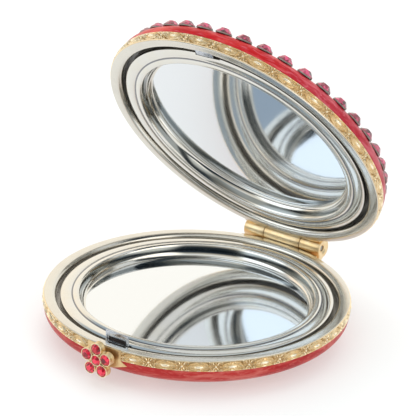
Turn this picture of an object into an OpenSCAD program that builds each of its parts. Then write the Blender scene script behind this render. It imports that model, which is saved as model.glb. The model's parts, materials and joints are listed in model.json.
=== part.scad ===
// Round enamelled compact mirror, standing open on its flat underside.
// Two like halves meet at polished rims. The lid turns on a three-knuckle hinge at the back (+Y),
// and a flower-shaped push button at the front (-Y) frees it from a sprung catch tongue.
// The origin is the middle of the flat underside, with +Z up.

/* [Halves] */
// Outer diameter of the polished rims
rim_d = 70; // [66:1:80]
// Height of one half from its rim to its flat outside
half_h = 9.2; // [8.8:0.1:12]
// Diameter of the flat outside of a half
foot_d = 40; // [34:1:44]
// How round the dome is: two is an ellipse, more is squarer
dome_roundness = 2.6; // [2.2:0.1:3.2]
// Gap between the rims when the mirror is closed
closed_gap = 0.3; // [0.2:0.05:0.4]
// Angle that the lid stands open at
lid_open_angle = 56; // [0:1:120]

/* [Rim, groove and band] */
// Width of the flat polished rim
rim_w = 2.7; // [2.4:0.1:3]
// Width of the groove inside the rim
groove_w = 0.9; // [0.85:0.05:1.1]
// Depth of the groove
groove_h = 3; // [2.8:0.1:3.2]
// Height of the plain edge between the rim's face and the band
band_edge = 0.2; // [0.15:0.05:0.3]
// Height of the ornamental band
band_h = 2.4; // [2:0.1:2.6]
// How deep the band is let into the rim
band_recess = 0.5; // [0.4:0.05:0.7]
// Thickness of the band at its edges
band_t = 0.7; // [0.65:0.05:1]
// How far the band's face is crowned at the middle of its height
band_crown = 0.3; // [0.1:0.05:0.4]

/* [Shell and enamel] */
// Wall of the cast shell
shell_wall = 1.2; // [1:0.05:1.3]
// Thickness of the enamel on the shell
enamel_t = 0.6; // [0.4:0.05:0.65]
// Thickness of the ledge under the groove
ledge_t = 0.8; // [0.6:0.05:1]
// How far the ledge reaches in under the mirror frame
ledge_lap = 0.8; // [0.6:0.1:1]
// Outer diameter of the ring that carries the mirror pad
support_d = 44; // [40:1:48]
// Width of that ring
support_w = 2; // [1.5:0.1:3]

/* [Mirror frame] */
// Thickness of the pressed frame
frame_t = 0.4; // [0.3:0.02:0.42]
// Width of the outer hump
hump_w = 2.8; // [2.6:0.1:2.9]
// How far the hump rises over the line between its feet
hump_rise = 0.5; // [0.42:0.02:0.6]
// Width of the inner bead
bead_w = 1.7; // [1.4:0.05:1.8]
// How far the bead rises over the line between its feet
bead_rise = 0.45; // [0.4:0.01:0.5]
// Depth of the hump's outer foot below the rim
skirt_drop = 0.97; // [0.9:0.01:1.05]
// Depth of the crease between hump and bead
crease_drop = 0.82; // [0.75:0.01:0.9]
// Depth of the bead's inner foot
bead_drop = 0.6; // [0.55:0.01:0.7]
// How far the frame's inner wall leans in on its way down
wall_lean = 0.2; // [0.1:0.05:0.3]
// Height of the flared foot that holds the glass
flare_h = 1.3; // [1:0.1:1.6]
// How far that foot reaches in over the glass
flare_w = 1.4; // [1:0.1:1.8]

/* [Mirror] */
// Depth of the mirror's face below the rim
mirror_drop = 3.2; // [3:0.1:3.4]
// Thickness of the mirror glass
mirror_t = 1.5; // [1.2:0.1:1.8]
// How far the glass runs under the frame
mirror_lap = 1.1; // [0.8:0.1:1.2]
// Width of the bevel round the back of the glass
mirror_bevel = 0.3; // [0.1:0.05:0.5]
// Thickness of the pad behind the glass
pad_t = 1; // [0.6:0.1:1.2]
// How much the pad stays inside the glass
pad_inset = 1; // [0.5:0.1:2]

/* [Hinge] */
// Distance of the hinge axis beyond the rim
hinge_out = 2; // [1.9:0.05:2.2]
// Height of the hinge axis over the base's rim
hinge_up = 0.7; // [0.5:0.05:0.9]
// Diameter of the knuckles
barrel_d = 4.4; // [4:0.1:4.6]
// Length of the whole hinge
hinge_w = 21.5; // [19:0.5:24]
// Length of the middle knuckle
middle_w = 10.1; // [8:0.1:12]
// Gap between two knuckles
knuckle_gap = 0.15; // [0.1:0.01:0.3]
// Diameter of the hinge pin
pin_d = 1.4; // [1.2:0.1:1.6]
// Running clearance round the pin in the middle knuckle
pin_fit = 0.05; // [0.02:0.01:0.08]
// Seating clearance round the pin in the outer knuckles
pin_seat_fit = 0.02; // [0.01:0.01:0.04]
// How far the pin stays inside the knuckle's end
pin_inset = 0.6; // [0.4:0.1:1]
// Width of the dished face round the pin hole
dish_w = 0.8; // [0.4:0.1:0.9]
// Depth of that dish
dish_h = 0.35; // [0.2:0.05:0.5]
// Clearance round the barrel where it turns in the rims
barrel_clear = 0.15; // [0.12:0.01:0.2]
// Thickness of the hinge leaves on the rim
leaf_t = 1.2; // [1:0.05:1.4]
// Thickness of the heels that stop the lid
heel_t = 0.8; // [0.5:0.05:0.9]
// Angle that the lid opens to before its heel meets the base's heel
lid_stop_angle = 120; // [100:1:130]
// Angle left between the heels at that stop
heel_gap_angle = 2; // [1:0.5:4]

/* [Push button] */
// Depth of the button's axis below the rim
button_drop = 2.7; // [2.6:0.05:2.8]
// Travel of the button
button_travel = 0.6; // [0.5:0.05:0.65]
// Gap left behind the flower when it is pressed
button_gap = 0.15; // [0.1:0.01:0.25]
// Depth of the flower's setting from front to back
flower_h = 1.7; // [1.5:0.1:2.2]
// Radius of the circle through the petals' middles
flower_r = 2.65; // [2.55:0.05:2.8]
// Number of petals
petal_count = 5; // [5:1:6]
// Diameter of a petal's stone
petal_stone_d = 2.3; // [2:0.1:2.4]
// Diameter of the middle stone
core_stone_d = 2.1; // [1.8:0.1:2.3]
// Wall of the metal round a stone
bezel_t = 0.3; // [0.2:0.02:0.34]
// Depth of a stone's seat
seat_h = 0.8; // [0.6:0.1:1]
// How far a stone's crown stands out of its seat
crown_h = 0.55; // [0.3:0.05:0.8]
// Diameter of the button's stem
stem_d = 1.6; // [1.4:0.1:1.7]
// Running clearance round the stem
stem_fit = 0.05; // [0.02:0.01:0.08]
// Width of the plate behind the flower, at the band
plate_w = 9; // [7:0.5:9]
// Width of the plate's lobe below the band
lobe_w = 12; // [11:0.5:13]
// Depth of the plate's lobe below the band
plate_drop = 2.4; // [1.6:0.1:2.8]

/* [Catch] */
// How far the tongue stands to the right of the button's middle
tongue_side = 1.2; // [0.4:0.1:1.4]
// Width of the catch tongue
tongue_w = 6; // [5:0.1:6.4]
// Thickness of the tongue
tongue_t = 0.45; // [0.4:0.01:0.5]
// Gap between the tongue and the groove's outer wall
tongue_gap = 0.25; // [0.22:0.01:0.28]
// How far the tongue stands above the base's rim
tongue_up = 2; // [1.8:0.1:2.1]
// Height of the tongue's top bar over its window
tongue_bar = 1.25; // [1:0.05:1.3]
// Height of the window
window_h = 1.1; // [0.9:0.05:1.2]
// Width of the tongue's uprights beside its window
upright_w = 0.45; // [0.35:0.05:0.6]
// Free space round the moving tongue
tongue_clear = 0.2; // [0.15:0.01:0.3]
// Thickness of the lid's catch plate
catch_t = 0.35; // [0.25:0.01:0.4]
// Width of the lid's catch plate
catch_w = 4.4; // [3.6:0.1:4.6]
// How far the catch plate reaches into the groove
catch_reach = 0.5; // [0.45:0.01:0.55]
// How far the catch plate is let into the rim
catch_root = 1; // [0.7:0.1:1.3]
// Mean diameter of the catch spring
spring_d = 1.9; // [1.8:0.05:2]
// Wire of the catch spring
wire_d = 0.25; // [0.2:0.01:0.28]
// Turns of the catch spring
spring_turns = 4; // [3:1:5]
// Length of the catch spring at rest
spring_l = 2.5; // [2.4:0.02:2.56]
// Thickness of the spring's seat
seat_t = 0.5; // [0.4:0.01:0.52]

/* [Lid stones] */
// Number of stones round the lid
stone_count = 40; // [30:1:42]
// Distance of the stones' middles from the enamel's widest edge, seen from above
stone_inset = 2.6; // [2.3:0.1:3.6]
// Diameter of one stone
stone_d = 3.6; // [3:0.1:3.8]
// Height of a stone's girdle
girdle_h = 0.35; // [0.2:0.05:0.5]
// Height of a stone's crown
stone_h = 0.95; // [0.6:0.05:1.3]
// Diameter of the flat table on a stone
table_d = 1.7; // [1:0.1:2.4]
// Height of the metal cup under a stone
cup_h = 0.4; // [0.3:0.05:0.6]
// Wall of that cup
cup_t = 0.15; // [0.1:0.01:0.2]

/* [Hidden] */
$fn = 96;

// Overrun of every cut
over = 0.5;
// Steps along the dome's curve and along a hump
dome_steps = 18;
hump_steps = 10;

// Shares of the lobe's drop and half width that shape the plate
lobe_corner_share = 0.42;
lobe_side_share = 0.8;
lobe_tip_share = 0.15;

// Share of the barrel's radius that a leaf's web reaches in to
web_root_share = 0.85;

// Radii that the halves share
rim_r = rim_d / 2;
foot_r = foot_d / 2;
groove_r = rim_r - rim_w;
skirt_r = groove_r - groove_w;
crease_r = skirt_r - hump_w;
bead_r = crease_r - bead_w;
shell_r = rim_r - band_recess;
band_r = shell_r + band_t;
enamel_r = shell_r + enamel_t;
mirror_r = bead_r + mirror_lap;
pad_r = mirror_r - pad_inset;

// Depths below the rim's face
band_low = band_edge + band_h;
shell_low = half_h - enamel_t;
floor_low = shell_low - shell_wall;
ledge_low = groove_h + ledge_t;
pad_top = mirror_drop + mirror_t;
pad_low = pad_top + pad_t;

// Hinge
hinge_y = rim_r + hinge_out;
barrel_r = barrel_d / 2;
relief_r = barrel_r + barrel_clear;
leaf_r = shell_r + leaf_t;
outer_w = (hinge_w - middle_w) / 2 - knuckle_gap;
leaf_low = band_low;
heel_r = relief_r + heel_t;
heel_root_r = leaf_r - leaf_t / 4;

// Ends of the heels, as angles round the hinge axis from +Y to +Z with the half's inside downwards
heel_from_angle = 205;
heel_to_angle = 270;
heel_stop_angle = 720 - heel_to_angle - lid_stop_angle - heel_gap_angle;

// Push button, front to back
flower_back = band_r + band_crown + button_travel + button_gap;
stem_r = stem_d / 2;
stem_root = flower_h - seat_h;
plate_low = band_low + plate_drop;

// Lid stones
stone_ring_r = enamel_r - stone_inset;

// Catch
tongue_front = groove_r - tongue_gap;
tongue_back = tongue_front - tongue_t;
tongue_low = button_drop + stem_r + bezel_t;
pocket_back = tongue_back - button_travel - tongue_clear;
pocket_w = tongue_w + 2 * tongue_clear;
window_w = tongue_w - 2 * upright_w;
window_top = tongue_up - tongue_bar;
seat_front = tongue_back - spring_l;
seat_back = seat_front - seat_t;
guide_r = (spring_d - wire_d) / 2 - stem_fit;
seat_top = button_drop - spring_d / 2;
seat_w = spring_d + 2 * wire_d;

// Height of a superellipse's side at a share of its half width
function round_share(share) = pow(1 - pow(share, dome_roundness), 1 / dome_roundness);

// Depth below its top that a dome curve reaches at a given radius
function dome_drop(r, top_r, drop, low_r) = drop * round_share(r / top_r) / round_share(low_r / top_r);

// Points [radius, height] of a dome curve from its top edge to its flat
function dome_curve(top_r, top, low, low_r) = [
    for (i = [0:dome_steps])
        let (turn = 90 * i / dome_steps)
        let (r = low_r + (top_r - low_r) * cos(turn))
        [r, -top - dome_drop(r, top_r, low - top, low_r)]
];

// Points [radius, height] over one hump of the frame, from its outer foot to its inner foot
function hump_curve(r_out, r_in, drop_out, drop_in, rise) = [
    for (i = [0:hump_steps])
        let (turn = 180 * i / hump_steps)
        let (share = (1 - cos(turn)) / 2)
        [r_out + (r_in - r_out) * share, -drop_out + (drop_out - drop_in) * share + rise * sin(turn)]
];

function backwards(points) = [for (i = [len(points) - 1:-1:0]) points[i]];

// Places a half's piece, drawn with the rim's face at zero height, in the base
module on_base() {
    translate([0, 0, half_h]) children();
}

// Places a half's piece in the lid, turned over and standing open
module on_lid() {
    translate([0, hinge_y, half_h + hinge_up])
        rotate([-lid_open_angle, 0, 0])
            translate([0, -hinge_y, closed_gap - hinge_up])
                mirror([0, 0, 1])
                    children();
}

// Room for the turning barrel, around a hinge axis at the given height over the rim
module hinge_relief(up) {
    translate([-hinge_w / 2 - barrel_clear, hinge_y, up])
        rotate([0, 90, 0])
            cylinder(r = relief_r, h = hinge_w + 2 * barrel_clear);
}

// The cast shell of one half, with the rim, the groove's outer wall and the pad's support ring
module half_shell() {
    outside = dome_curve(shell_r, band_low, shell_low, foot_r);
    inside = dome_curve(shell_r - shell_wall, ledge_low, floor_low, foot_r);
    rotate_extrude()
        polygon(concat(
            [[groove_r, 0], [rim_r, 0], [rim_r, -band_edge], [shell_r, -band_edge]],
            outside,
            [[0, -shell_low], [0, -floor_low]],
            backwards(inside),
            [
                [skirt_r - ledge_lap, -ledge_low],
                [skirt_r - ledge_lap, -groove_h],
                [groove_r, -groove_h]
            ]
        ));
    translate([0, 0, -floor_low])
        difference() {
            cylinder(d = support_d, h = floor_low - pad_low);
            translate([0, 0, -over]) cylinder(d = support_d - 2 * support_w, h = floor_low + over);
        }
}

// The enamel layer outside the shell
module half_enamel() {
    rotate_extrude()
        polygon(concat(
            dome_curve(enamel_r, band_low, half_h, foot_r),
            [[0, -half_h], [0, -shell_low]],
            backwards(dome_curve(shell_r, band_low, shell_low, foot_r))
        ));
}

// The ornamental band: a ring with a crowned face, open where the hinge leaf is
module half_band() {
    difference() {
        rotate_extrude()
            polygon(concat(
                [[shell_r, -band_edge], [shell_r, -band_low]],
                [
                    for (i = [0:hump_steps])
                        let (side = 2 * i / hump_steps - 1)
                        [band_r + band_crown * (1 - side * side), -band_low + band_h * (1 + side) / 2]
                ]
            ));
        leaf_room();
    }
}

// Space of a hinge leaf on the rim's outer wall
module leaf_room() {
    translate([-hinge_w / 2, 0, -leaf_low - over])
        cube([hinge_w, rim_r + leaf_t + over, leaf_low + 2 * over]);
}

// Outline of the plate behind the flower, seen from the front, with the rim's face at zero height
module plate_outline() {
    neck = plate_w / 2;
    lobe = lobe_w / 2;
    polygon([
        [-neck, -band_edge],
        [-neck, -band_low],
        [-lobe, -band_low - plate_drop * lobe_corner_share],
        [-lobe / 2, -band_low - plate_drop * lobe_side_share],
        [-lobe * lobe_tip_share, -plate_low],
        [lobe * lobe_tip_share, -plate_low],
        [lobe / 2, -band_low - plate_drop * lobe_side_share],
        [lobe, -band_low - plate_drop * lobe_corner_share],
        [neck, -band_low],
        [neck, -band_edge]
    ]);
}

// Gap in the band where the plate stands
module band_gap() {
    translate([-plate_w / 2, -rim_r - over, -band_low - over]) cube([plate_w, rim_r, band_h + 2 * over]);
}

// The plate's outline run through the front wall
module plate_room() {
    translate([0, -rim_r / 2, 0]) rotate([90, 0, 0]) linear_extrude(rim_r) plate_outline();
}

// Bore of the button's stem, from the middle of the half to its front
module stem_bore() {
    translate([0, 0, -button_drop]) rotate([90, 0, 0]) cylinder(r = stem_r + stem_fit, h = rim_r + over);
}

// Room for the catch spring in the ledge behind the tongue
module spring_room() {
    translate([0, -tongue_back, -button_drop])
        rotate([-90, 0, 0])
            cylinder(r = spring_d / 2 + wire_d / 2 + tongue_clear, h = spring_l);
}

// The pressed frame round the mirror
module half_frame() {
    foot = -groove_h;
    hump_top = hump_curve(skirt_r, crease_r, skirt_drop, crease_drop, hump_rise);
    bead_top = hump_curve(crease_r, bead_r, crease_drop, bead_drop, bead_rise);
    inner_out = crease_r + frame_t;
    inner_in = crease_r - frame_t;
    under_drop = crease_drop + frame_t;
    hump_under = hump_curve(skirt_r - frame_t, inner_out, skirt_drop + frame_t, under_drop, hump_rise);
    bead_under = hump_curve(inner_in, bead_r + frame_t, under_drop, bead_drop + frame_t, bead_rise);
    difference() {
        rotate_extrude()
            polygon(concat(
                [[skirt_r, foot]],
                hump_top,
                [for (i = [1:hump_steps]) bead_top[i]],
                [[bead_r - wall_lean, flare_h - mirror_drop]],
                [[bead_r - flare_w, -mirror_drop], [bead_r + frame_t, -mirror_drop]],
                backwards(bead_under),
                backwards(hump_under),
                [[skirt_r - frame_t, foot]]
            ));
        catch_pocket();
    }
}

// Room for the catch tongue in front of the frame
module catch_pocket() {
    depth = tongue_low + tongue_clear;
    translate([tongue_side - pocket_w / 2, -groove_r, -depth])
        cube([pocket_w, groove_r - pocket_back, depth + over]);
}

// The mirror glass with its back edge bevelled
module half_mirror() {
    translate([0, 0, -pad_top]) {
        cylinder(r1 = mirror_r - mirror_bevel, r2 = mirror_r, h = mirror_bevel);
        translate([0, 0, mirror_bevel]) cylinder(r = mirror_r, h = mirror_t - mirror_bevel);
    }
}

module half_pad() {
    translate([0, 0, -pad_low]) cylinder(r = pad_r, h = pad_t);
}

// Points on an arc round the hinge axis, between two angles counted from +Y to +Z
function arc(r, from, to) = [
    for (i = [0:hump_steps])
        let (a = from + (to - from) * i / hump_steps)
        r * [cos(a), sin(a)]
];

// A heel that stops the lid: a part of a ring round the X axis, as long as the middle knuckle
module heel(r_in, from, to) {
    translate([-middle_w / 2, 0, 0])
        rotate([90, 0, 90])
            linear_extrude(middle_w)
                polygon(concat(arc(heel_r, from, to), arc(r_in, to, from)));
}

// One knuckle along X with its pin bore
module knuckle(length, bore_r) {
    rotate([0, 90, 0])
        difference() {
            cylinder(r = barrel_r, h = length);
            translate([0, 0, -over]) cylinder(r = bore_r, h = length + 2 * over);
        }
}

// Space of the shell behind the leaf and of the enamel below it
module wall_room() {
    translate([0, 0, -leaf_low]) cylinder(r = shell_r, h = leaf_low);
    translate([0, 0, -half_h]) cylinder(r = heel_root_r, h = half_h - leaf_low);
}

// The curved leaf that stands in the band's place
module leaf() {
    intersection() {
        translate([0, 0, -leaf_low]) cylinder(r = leaf_r, h = leaf_low - band_edge);
        leaf_room();
    }
}

// The web that joins a knuckle of the given length to its leaf
module web(length, up) {
    root_r = barrel_r * web_root_share;
    translate([-length / 2, 0, 0])
        rotate([90, 0, 90])
            linear_extrude(length)
                polygon([
                    [shell_r + leaf_t / 2, -leaf_low],
                    [shell_r + leaf_t / 2, -band_edge],
                    [hinge_y - root_r * cos(30), up - root_r * sin(30)],
                    [hinge_y, up],
                    [hinge_y + root_r * cos(60), up - root_r * sin(60)],
                    [leaf_r, -leaf_low]
                ]);
}

module dish() {
    bore_r = pin_d / 2 + pin_seat_fit;
    rotate([0, 90, 0]) cylinder(r1 = bore_r, r2 = bore_r + dish_w, h = dish_h);
    translate([dish_h, 0, 0]) rotate([0, 90, 0]) cylinder(r = bore_r + dish_w, h = over);
}

module base_shell() {
    color("silver")
        on_base()
            difference() {
                half_shell();
                hinge_relief(hinge_up);
                catch_pocket();
                spring_room();
                stem_bore();
            }
}

module base_enamel() {
    color("firebrick")
        on_base()
            difference() {
                half_enamel();
                plate_room();
            }
}

module base_band() {
    color("goldenrod")
        on_base()
            difference() {
                half_band();
                band_gap();
            }
}

module base_mirror_frame() {
    color("gainsboro") on_base() half_frame();
}

module base_mirror() {
    color("aliceblue") on_base() half_mirror();
}

module base_mirror_pad() {
    color("dimgray") on_base() half_pad();
}

module base_hinge_leaf() {
    outer_middle = (middle_w + outer_w) / 2 + knuckle_gap;
    bore_r = pin_d / 2 + pin_seat_fit;
    color("burlywood")
        on_base()
            difference() {
                union() {
                    difference() {
                        union() {
                            leaf();
                            translate([0, hinge_y, hinge_up])
                                heel(barrel_r, heel_from_angle, heel_stop_angle);
                        }
                        hinge_relief(hinge_up);
                    }
                    for (side = [-1, 1]) {
                        translate([side * outer_middle, 0, 0]) web(outer_w, hinge_up);
                        translate([side * outer_middle - outer_w / 2, hinge_y, hinge_up])
                            knuckle(outer_w, bore_r);
                    }
                }
                wall_room();
                for (side = [0, 1])
                    mirror([side, 0, 0]) {
                        translate([hinge_w / 2 - dish_h, hinge_y, hinge_up]) dish();
                        translate([middle_w / 2 + knuckle_gap - over, hinge_y, hinge_up])
                            rotate([0, 90, 0])
                                cylinder(r = bore_r, h = outer_w + 2 * over);
                    }
            }
}

module lid_hinge_leaf() {
    up = closed_gap - hinge_up;
    bore_r = pin_d / 2 + pin_fit;
    color("burlywood")
        on_lid()
            difference() {
                union() {
                    difference() {
                        leaf();
                        hinge_relief(up);
                    }
                    web(middle_w, up);
                    translate([-middle_w / 2, hinge_y, up]) knuckle(middle_w, bore_r);
                    translate([0, hinge_y, up]) heel(barrel_r - over, heel_from_angle, heel_to_angle);
                }
                wall_room();
                translate([-middle_w / 2 - over, hinge_y, up])
                    rotate([0, 90, 0])
                        cylinder(r = bore_r, h = middle_w + 2 * over);
            }
}

module hinge_pin() {
    length = hinge_w - 2 * pin_inset;
    color("darkgoldenrod")
        on_base()
            translate([-length / 2, hinge_y, hinge_up]) rotate([0, 90, 0]) cylinder(d = pin_d, h = length);
}

module button_plate() {
    color("gold")
        on_base()
            difference() {
                intersection() {
                    plate_room();
                    translate([0, 0, -plate_low]) cylinder(r = band_r, h = plate_low - band_edge);
                }
                rotate_extrude()
                    polygon(concat(
                        [[0, over], [shell_r, over]],
                        dome_curve(shell_r, band_low, shell_low, foot_r),
                        [[0, -shell_low]]
                    ));
                stem_bore();
            }
}

// Places of the petals and the middle of the flower, each with its stone's radius
function flower_places() = concat(
    [
        for (i = [0:petal_count - 1])
            let (a = 90 + 360 * i / petal_count)
            [flower_r * cos(a), flower_r * sin(a), petal_stone_d / 2]
    ],
    [[0, 0, core_stone_d / 2]]
);

// Puts a piece drawn from its back at zero height upwards at the flower's back, facing forwards
module on_flower() {
    on_base() translate([0, -flower_back, -button_drop]) rotate([90, 0, 0]) children();
}

module flower_button() {
    color("goldenrod")
        on_flower()
            difference() {
                union() {
                    for (place = flower_places())
                        translate([place[0], place[1], 0])
                            cylinder(r = place[2] + bezel_t, h = flower_h, $fn = 48);
                    cylinder(r = flower_r, h = flower_h - seat_h);
                }
                for (place = flower_places())
                    translate([place[0], place[1], flower_h - seat_h])
                        cylinder(r = place[2], h = seat_h + over, $fn = 48);
                translate([0, 0, -over]) cylinder(r = stem_r, h = stem_root / 2 + over);
            }
}

module flower_stones() {
    color("crimson")
        on_flower()
            for (place = flower_places())
                translate([place[0], place[1], flower_h - seat_h]) {
                    cylinder(r = place[2], h = seat_h, $fn = 48);
                    translate([0, 0, seat_h])
                        cylinder(r1 = place[2], r2 = place[2] / 2, h = crown_h, $fn = 48);
                }
}

module button_stem() {
    shoulder = flower_back + stem_root / 2 - tongue_back;
    guide = tongue_back - seat_front + seat_t / 2;
    color("silver")
        on_base()
            translate([0, -tongue_back, -button_drop]) {
                rotate([90, 0, 0]) cylinder(r = stem_r, h = shoulder);
                rotate([-90, 0, 0]) cylinder(r = guide_r, h = guide);
            }
}

module catch_tongue() {
    color("lightgray")
        on_base()
            difference() {
                translate([tongue_side - tongue_w / 2, -tongue_front, -tongue_low])
                    cube([tongue_w, tongue_t, tongue_low + tongue_up]);
                translate([tongue_side - window_w / 2, -tongue_front - over, window_top - window_h])
                    cube([window_w, tongue_t + 2 * over, window_h]);
                translate([0, -tongue_back + over, -button_drop])
                    rotate([90, 0, 0])
                        cylinder(r = stem_r, h = tongue_t + 2 * over);
            }
}

// A point of the spring's wire, from its middle line and the turn along it
function wire_point(turn, side) =
    let (out = spring_d / 2 + wire_d / 2 * cos(side))
    let (along = wire_d / 2 + (spring_l - wire_d) * turn / (360 * spring_turns))
    [out * cos(turn), out * sin(turn), along + wire_d / 2 * sin(side)];

module catch_spring() {
    sides = 6;
    rings = 14 * spring_turns;
    points = [
        for (i = [0:rings])
            for (j = [0:sides - 1])
                wire_point(360 * spring_turns * i / rings, -360 * j / sides)
    ];
    walls = [
        for (i = [0:rings - 1])
            for (j = [0:sides - 1])
                let (next = (j + 1) % sides)
                [i * sides + j, i * sides + next, (i + 1) * sides + next, (i + 1) * sides + j]
    ];
    first = [for (j = [sides - 1:-1:0]) j];
    last = [for (j = [0:sides - 1]) rings * sides + j];
    color("gray")
        on_base()
            translate([0, -tongue_back, -button_drop])
                rotate([-90, 0, 0])
                    polyhedron(points, concat(walls, [first, last]));
}

module spring_seat() {
    color("gray")
        on_base()
            difference() {
                intersection() {
                    translate([-seat_w / 2, -seat_front, -floor_low])
                        cube([seat_w, seat_t, floor_low - seat_top]);
                    rotate_extrude()
                        polygon(concat(
                            [[0, 0], [shell_r - shell_wall, 0]],
                            dome_curve(shell_r - shell_wall, ledge_low, floor_low, foot_r),
                            [[0, -floor_low]]
                        ));
                }
                translate([0, -seat_back + over, -button_drop])
                    rotate([90, 0, 0])
                        cylinder(r = guide_r + stem_fit, h = seat_t + 2 * over);
            }
}

// The lid's catch plate, let into the rim and reaching into the groove
module catch_plate(extra) {
    translate([tongue_side - catch_w / 2, -groove_r - catch_root, -catch_t])
        cube([catch_w, catch_root + catch_reach, catch_t + extra]);
}

module lid_shell() {
    color("silver")
        on_lid()
            difference() {
                half_shell();
                hinge_relief(closed_gap - hinge_up);
                catch_plate(over);
                catch_pocket();
            }
}

module lid_enamel() {
    color("crimson") on_lid() half_enamel();
}

module lid_band() {
    color("goldenrod") on_lid() half_band();
}

module lid_mirror_frame() {
    color("gainsboro") on_lid() half_frame();
}

module lid_mirror() {
    color("aliceblue") on_lid() half_mirror();
}

module lid_mirror_pad() {
    color("dimgray") on_lid() half_pad();
}

module lid_catch() {
    color("lightgray") on_lid() catch_plate(0);
}

// Puts copies of a stone's piece round the lid, standing square to the dome
module round_stones() {
    depth = half_h - band_low;
    step = girdle_h / 10;
    drop = dome_drop(stone_ring_r, enamel_r, depth, foot_r);
    rise = dome_drop(stone_ring_r - step, enamel_r, depth, foot_r) - drop;
    tilt = atan2(rise, step);
    on_lid()
        for (i = [0:stone_count - 1])
            rotate([0, 0, 360 * (i + 1 / 2) / stone_count])
                translate([0, -stone_ring_r, -band_low - drop])
                    rotate([180 - tilt, 0, 0])
                        children();
}

module stone_cups() {
    color("silver")
        round_stones()
            difference() {
                cylinder(r = stone_d / 2 + cup_t, h = cup_h, $fn = 32);
                translate([0, 0, cup_t]) cylinder(r = stone_d / 2, h = cup_h, $fn = 32);
            }
}

module lid_stones() {
    color("mediumvioletred")
        round_stones()
            translate([0, 0, cup_t]) {
                cylinder(d = stone_d, h = girdle_h, $fn = 32);
                translate([0, 0, girdle_h]) cylinder(d1 = stone_d, d2 = table_d, h = stone_h, $fn = 32);
            }
}

base_shell();
base_enamel();
base_band();
base_mirror_frame();
base_mirror();
base_mirror_pad();
base_hinge_leaf();
hinge_pin();
button_plate();
flower_button();
flower_stones();
button_stem();
catch_tongue();
catch_spring();
spring_seat();
lid_shell();
lid_enamel();
lid_band();
lid_mirror_frame();
lid_mirror();
lid_mirror_pad();
lid_hinge_leaf();
lid_catch();
stone_cups();
lid_stones();
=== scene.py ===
import json
import math
from contextlib import contextmanager

import bmesh
import bpy
import numpy as np
from mathutils import Matrix, Vector


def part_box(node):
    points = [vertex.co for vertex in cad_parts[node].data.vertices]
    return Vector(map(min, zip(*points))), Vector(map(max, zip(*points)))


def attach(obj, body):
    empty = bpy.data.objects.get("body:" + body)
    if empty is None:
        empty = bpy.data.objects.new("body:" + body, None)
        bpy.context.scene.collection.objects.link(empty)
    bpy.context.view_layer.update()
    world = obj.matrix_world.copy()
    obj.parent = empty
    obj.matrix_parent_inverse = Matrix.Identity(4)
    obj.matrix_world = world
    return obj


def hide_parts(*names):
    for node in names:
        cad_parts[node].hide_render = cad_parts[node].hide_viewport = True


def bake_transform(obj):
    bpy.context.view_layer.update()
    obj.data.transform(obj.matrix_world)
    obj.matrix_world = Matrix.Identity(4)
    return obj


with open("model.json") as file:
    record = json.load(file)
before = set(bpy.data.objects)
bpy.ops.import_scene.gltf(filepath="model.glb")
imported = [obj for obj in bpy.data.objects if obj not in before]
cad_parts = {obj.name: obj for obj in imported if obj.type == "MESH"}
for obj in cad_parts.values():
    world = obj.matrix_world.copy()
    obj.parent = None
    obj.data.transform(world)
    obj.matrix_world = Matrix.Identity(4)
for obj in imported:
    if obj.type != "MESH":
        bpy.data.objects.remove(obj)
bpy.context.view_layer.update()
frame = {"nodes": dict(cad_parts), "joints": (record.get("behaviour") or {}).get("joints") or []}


# The camera stands at the photograph's viewing angle, far off with a long lens, as for a product
# picture. Its aim is stated from the middle of the base's rim.
camera_azimuth = math.radians(34.3)
camera_elevation = math.radians(23.15)
camera_roll = math.radians(2.0)
camera_distance = 0.5
aim_right = 0.0018
aim_up = 0.01907
nearest_seen, farthest_seen = 0.01, 10
image_width_px = 416
focal_length_px = 2182.3
sensor_width_mm = 36
rim_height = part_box("base_shell")[1].z


def new_object(name, data):
    """An object in the scene that holds the data."""
    made = bpy.data.objects.new(name, data)
    bpy.context.scene.collection.objects.link(made)
    return made


level = Vector((math.cos(camera_azimuth), math.sin(camera_azimuth), 0))
back = Vector((
    math.sin(camera_azimuth) * math.cos(camera_elevation),
    -math.cos(camera_azimuth) * math.cos(camera_elevation),
    math.sin(camera_elevation),
))
upright = back.cross(level)
camera_right = math.cos(camera_roll) * level + math.sin(camera_roll) * upright
camera_top = math.cos(camera_roll) * upright - math.sin(camera_roll) * level
camera_place = (
    Vector((0, 0, rim_height)) + back * camera_distance + level * aim_right + upright * aim_up)

camera = new_object("camera", bpy.data.cameras.new("camera"))
camera.data.sensor_width = sensor_width_mm
camera.data.lens = focal_length_px * sensor_width_mm / image_width_px
camera.data.clip_start = nearest_seen
camera.data.clip_end = farthest_seen
camera.matrix_world = (
    Matrix.Translation(camera_place)
    @ Matrix((camera_right, camera_top, back)).transposed().to_4x4())
bpy.context.scene.camera = camera
bpy.context.scene.view_settings.view_transform = "Standard"


# The studio is a room that polished metal shows as pale faces between dark lines: white behind the
# object, dark about the camera and low down, with a grey ceiling and a bright panel on each side.
# Two soft lights, which no reflection shows, light the object itself.
def linear(colour):
    """An sRGB hex colour as linear red, green, blue and alpha."""
    shares = [int(colour[i:i + 2], 16) / 255 for i in (1, 3, 5)]
    return [s / 12.92 if s <= 0.04045 else ((s + 0.055) / 1.055) ** 2.4 for s in shares] + [1]


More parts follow.
